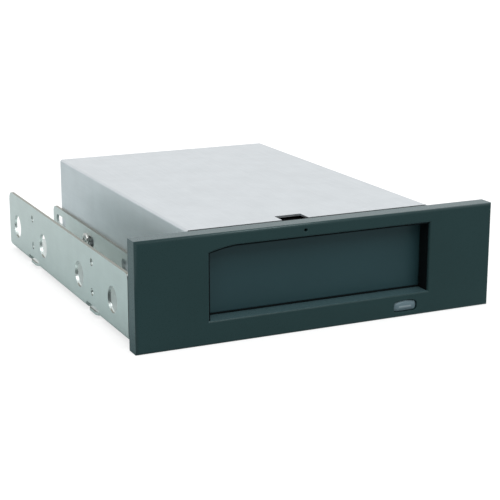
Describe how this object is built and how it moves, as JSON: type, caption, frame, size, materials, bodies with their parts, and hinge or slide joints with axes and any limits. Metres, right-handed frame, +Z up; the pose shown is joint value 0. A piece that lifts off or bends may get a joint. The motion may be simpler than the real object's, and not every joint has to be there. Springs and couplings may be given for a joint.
{
  "type": "removable disk drive",
  "caption": "Internal dock for removable disk cartridges with a dust door, eject button, sheet-metal housing and channel side brackets for a wide half-height bay.",
  "frame": {"origin": "middle of the base of the bounding box, under the drive", "axes": "+X to the right seen from the front, +Y from the bezel to the rear, +Z up"},
  "size_m": [0.149, 0.1686, 0.0415],
  "materials": {
    "bezel_plastic": "fine moulded texture, dark blue-grey",
    "door_plastic": "smooth satin, dark blue-grey",
    "button_plastic": "satin grey",
    "frame_plastic": "black glass-filled moulding",
    "cover_sheet": "electro-galvanised sheet, satin",
    "tray_sheet": "electro-galvanised sheet, satin",
    "bracket_sheet": "zinc-plated sheet, satin",
    "screw_steel": "bright zinc plate",
    "spring_steel": "drawn wire",
    "pin_steel": "ground",
    "circuit_board": "solder mask",
    "chip_black": "moulded epoxy",
    "connector_plastic": "black moulding",
    "lamp_lens": "milky epoxy",
    "can_aluminium": "drawn can",
    "film": "polyester film",
    "gear_plastic": "natural acetal",
    "gear_brass": "turned",
    "motor_can": "drawn and plated can",
    "slide_plastic": "natural acetal",
    "ferrite": "moulded ferrite"
  },
  "bodies": {
    "housing": {"front_bezel": "bezel_plastic", "door_hinge_pins": "pin_steel", "door_spring": "spring_steel", "eject_switch": "connector_plastic", "button_led": "lamp_lens", "top_cover": "cover_sheet", "bottom_tray": "tray_sheet", "left_bracket": "bracket_sheet", "right_bracket": "bracket_sheet", "bracket_screws_left": "screw_steel", "bracket_screws_right": "screw_steel", "cartridge_bay": "frame_plastic", "bay_screws": "screw_steel", "insulator_sheet": "film", "board_standoffs": "pin_steel", "main_board": "circuit_board", "board_screws": "screw_steel", "bridge_chip": "chip_black", "memory_chips": "chip_black", "board_capacitors": "can_aluminium", "power_coil": "ferrite", "host_connector": "connector_plastic", "backplane_board": "circuit_board", "backplane_screws": "screw_steel", "cartridge_connector": "connector_plastic", "flex_sockets": "connector_plastic", "flex_cable": "film", "eject_motor": "motor_can", "gear_axles": "pin_steel", "gearbox_frame": "frame_plastic", "gearbox_screws": "screw_steel", "slide_switch": "connector_plastic", "guide_plate": "tray_sheet", "rod_clips": "tray_sheet", "guide_plate_screws": "screw_steel", "latch_pivot": "pin_steel", "latch_spring": "spring_steel"},
    "door": {"dust_door": "door_plastic"},
    "button": {"eject_button": "button_plastic", "switch_plunger": "connector_plastic"},
    "slide": {"ejector_slide": "slide_plastic"},
    "drive_train": {"drive_gear": "gear_plastic"},
    "reduction_train": {"reduction_gear": "gear_plastic"},
    "rotor": {"motor_pinion": "gear_brass", "motor_shaft": "pin_steel"},
    "release": {"release_rod": "frame_plastic"},
    "latch": {"latch_lever": "frame_plastic"}
  },
  "joints": [
    {"name": "door_hinge", "type": "hinge", "parent": "housing", "child": "door", "pos_m": [0, -0.0759, 0.0368], "axis": [1, 0, 0], "range_deg": [0, 90], "stiffness_Nm_per_rad": 0.0006, "springref_deg": -22.92, "deforming": ["door_spring"]},
    {"name": "button_press", "type": "slide", "parent": "housing", "child": "button", "axis": [0, 1, 0], "range_m": [0, 0.0008], "stiffness_N_per_m": 800, "springref_m": -0.0004},
    {"name": "slide_travel", "type": "slide", "parent": "housing", "child": "slide", "axis": [0, -1, 0], "range_m": [0, 0.012]},
    {"name": "drive_gear_turn", "type": "hinge", "parent": "housing", "child": "drive_train", "pos_m": [-0.036, 0.0527, 0.03082], "axis": [1, 0, 0], "range_deg": [-1, 191.99]},
    {"name": "reduction_gear_turn", "type": "hinge", "parent": "housing", "child": "reduction_train", "pos_m": [-0.036, 0.05952, 0.02297], "axis": [1, 0, 0], "range_deg": [-637.62, 1]},
    {"name": "motor_turn", "type": "hinge", "parent": "housing", "child": "rotor", "pos_m": [-0.036, 0.05844, 0.01263], "axis": [1, 0, 0], "range_deg": [-1, 2123.07]},
    {"name": "release_push", "type": "slide", "parent": "housing", "child": "release", "axis": [0, 1, 0], "range_m": [0, 0.003], "stiffness_N_per_m": 150, "springref_m": -0.002},
    {"name": "latch_turn", "type": "hinge", "parent": "housing", "child": "latch", "pos_m": [0.0075, 0.0121, 0.0379], "axis": [0, 0, 1], "range_deg": [-11.51, 0.05], "deforming": ["latch_spring"]}
  ],
  "couplings": [
    {"joint": "drive_gear_turn", "follows": "slide_travel", "rad_per_m": 277.78},
    {"joint": "reduction_gear_turn", "follows": "slide_travel", "rad_per_m": -925.93},
    {"joint": "motor_turn", "follows": "slide_travel", "rad_per_m": 3086.4},
    {"joint": "latch_turn", "follows": "release_push", "rad_per_m": -66.667}
  ]
}
